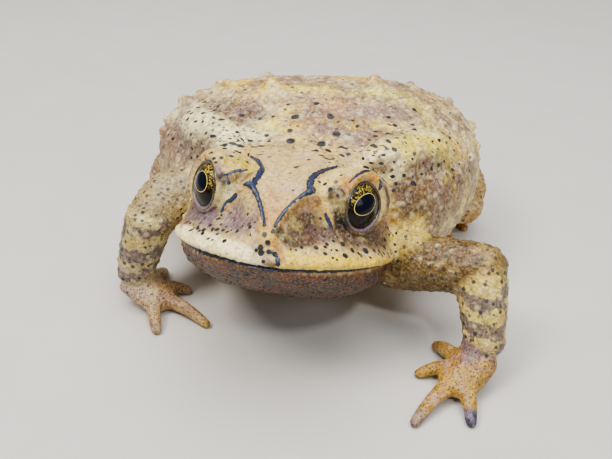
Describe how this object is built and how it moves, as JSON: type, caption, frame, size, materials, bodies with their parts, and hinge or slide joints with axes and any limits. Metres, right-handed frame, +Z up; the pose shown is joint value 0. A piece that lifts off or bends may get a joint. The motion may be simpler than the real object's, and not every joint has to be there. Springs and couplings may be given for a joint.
{
  "type": "asian common toad",
  "caption": "Squat warty toad sitting up on bowed forelimbs, with a ridged head, bulging eyes, swollen neck glands and folded hind legs; a still life-size model.",
  "frame": {"origin": "on the flat under the belly, at floor level, behind the forelimbs", "axes": "+X to the toad's left, -Y the way it faces, +Z up from the floor"},
  "size_m": [0.0845, 0.0991, 0.039],
  "materials": {
    "toad_skin": "matte, granular",
    "limb_skin": "matte, granular",
    "eardrum_skin": "satin",
    "eye": "wet gloss"
  },
  "bodies": {
    "root": {"head": "toad_skin", "lower_jaw": "toad_skin", "torso": "toad_skin", "parotoid_left": "toad_skin", "parotoid_right": "toad_skin", "upper_arm_left": "limb_skin", "forearm_left": "limb_skin", "hand_left": "limb_skin", "thigh_left": "limb_skin", "shank_left": "limb_skin", "tarsus_left": "limb_skin", "foot_left": "limb_skin", "upper_arm_right": "limb_skin", "forearm_right": "limb_skin", "hand_right": "limb_skin", "thigh_right": "limb_skin", "shank_right": "limb_skin", "tarsus_right": "limb_skin", "foot_right": "limb_skin", "tympanum_left": "eardrum_skin", "tympanum_right": "eardrum_skin", "eye_left": "eye", "eye_right": "eye"}
  },
  "joints": []
}
